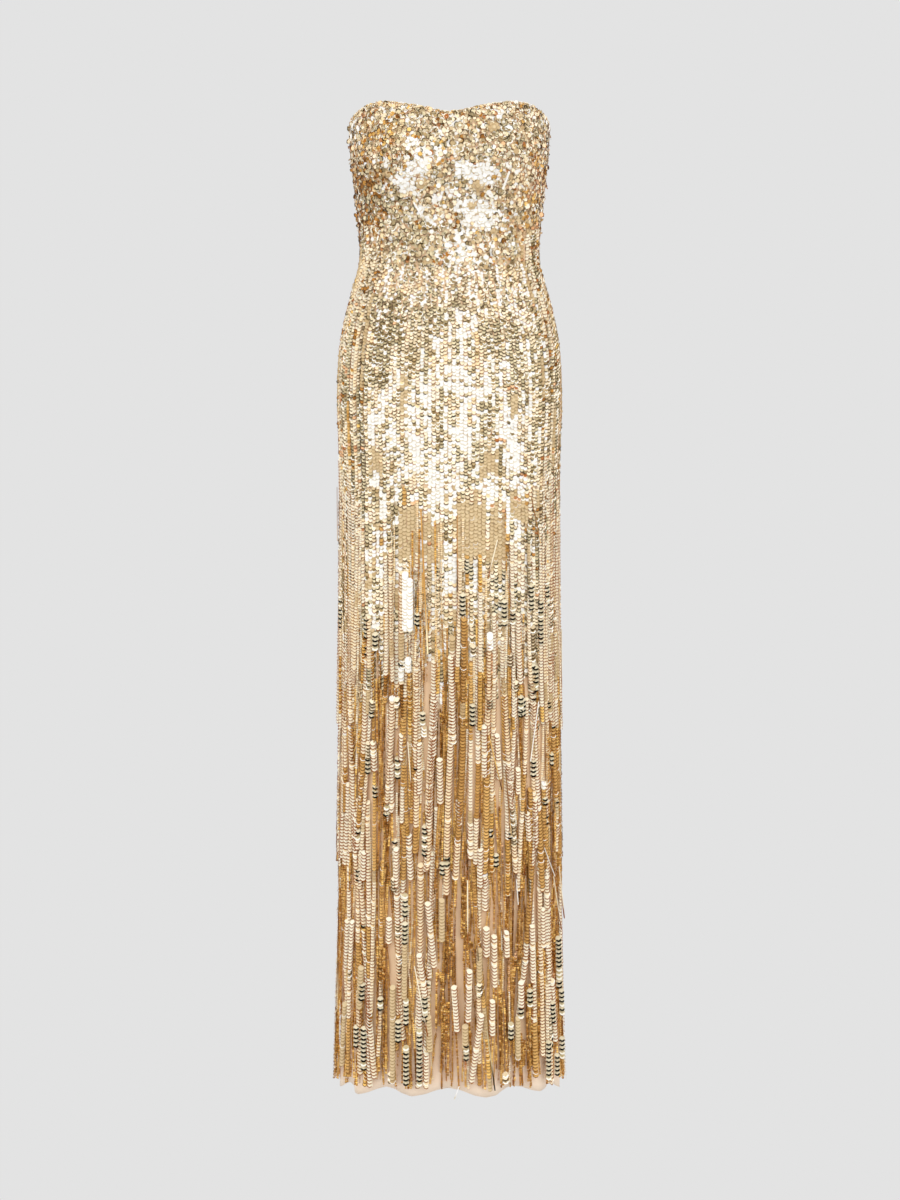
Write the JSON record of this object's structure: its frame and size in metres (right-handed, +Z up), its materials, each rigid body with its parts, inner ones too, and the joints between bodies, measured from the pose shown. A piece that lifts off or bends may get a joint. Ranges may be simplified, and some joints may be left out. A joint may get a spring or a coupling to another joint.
{
  "type": "strapless gown",
  "caption": "Strapless floor-length column gown, filled out as worn, with a sweetheart neckline, sequinned net panels, tiers of hanging fringe and a concealed back zip.",
  "frame": {"origin": "centre of the bodice at underarm level, where the wearer's ribs hold the gown up", "axes": "+Z up, the wearer faces -Y, +X is the wearer's left"},
  "size_m": [0.3275, 0.252, 1.3694],
  "materials": {
    "sequinned_net": "champagne gold sequins on nude net",
    "fringe": "strung gold sequins on thread",
    "zip_tape": "nude nylon tape and coil",
    "zip_metal": "pale gold lacquered metal"
  },
  "bodies": {
    "gown": {"front": "sequinned_net", "back_left": "sequinned_net", "back_right": "sequinned_net", "zip_tape": "zip_tape", "zip_slider": "zip_metal", "fringe_upper": "fringe", "fringe_middle": "fringe", "fringe_lower": "fringe"},
    "pull": {"zip_pull": "zip_metal"}
  },
  "joints": [
    {"name": "pull_swing", "type": "hinge", "parent": "gown", "child": "pull", "pos_m": [0, 0.09042, -0.015], "axis": [1, 0, 0], "range_deg": [0, 170]}
  ]
}
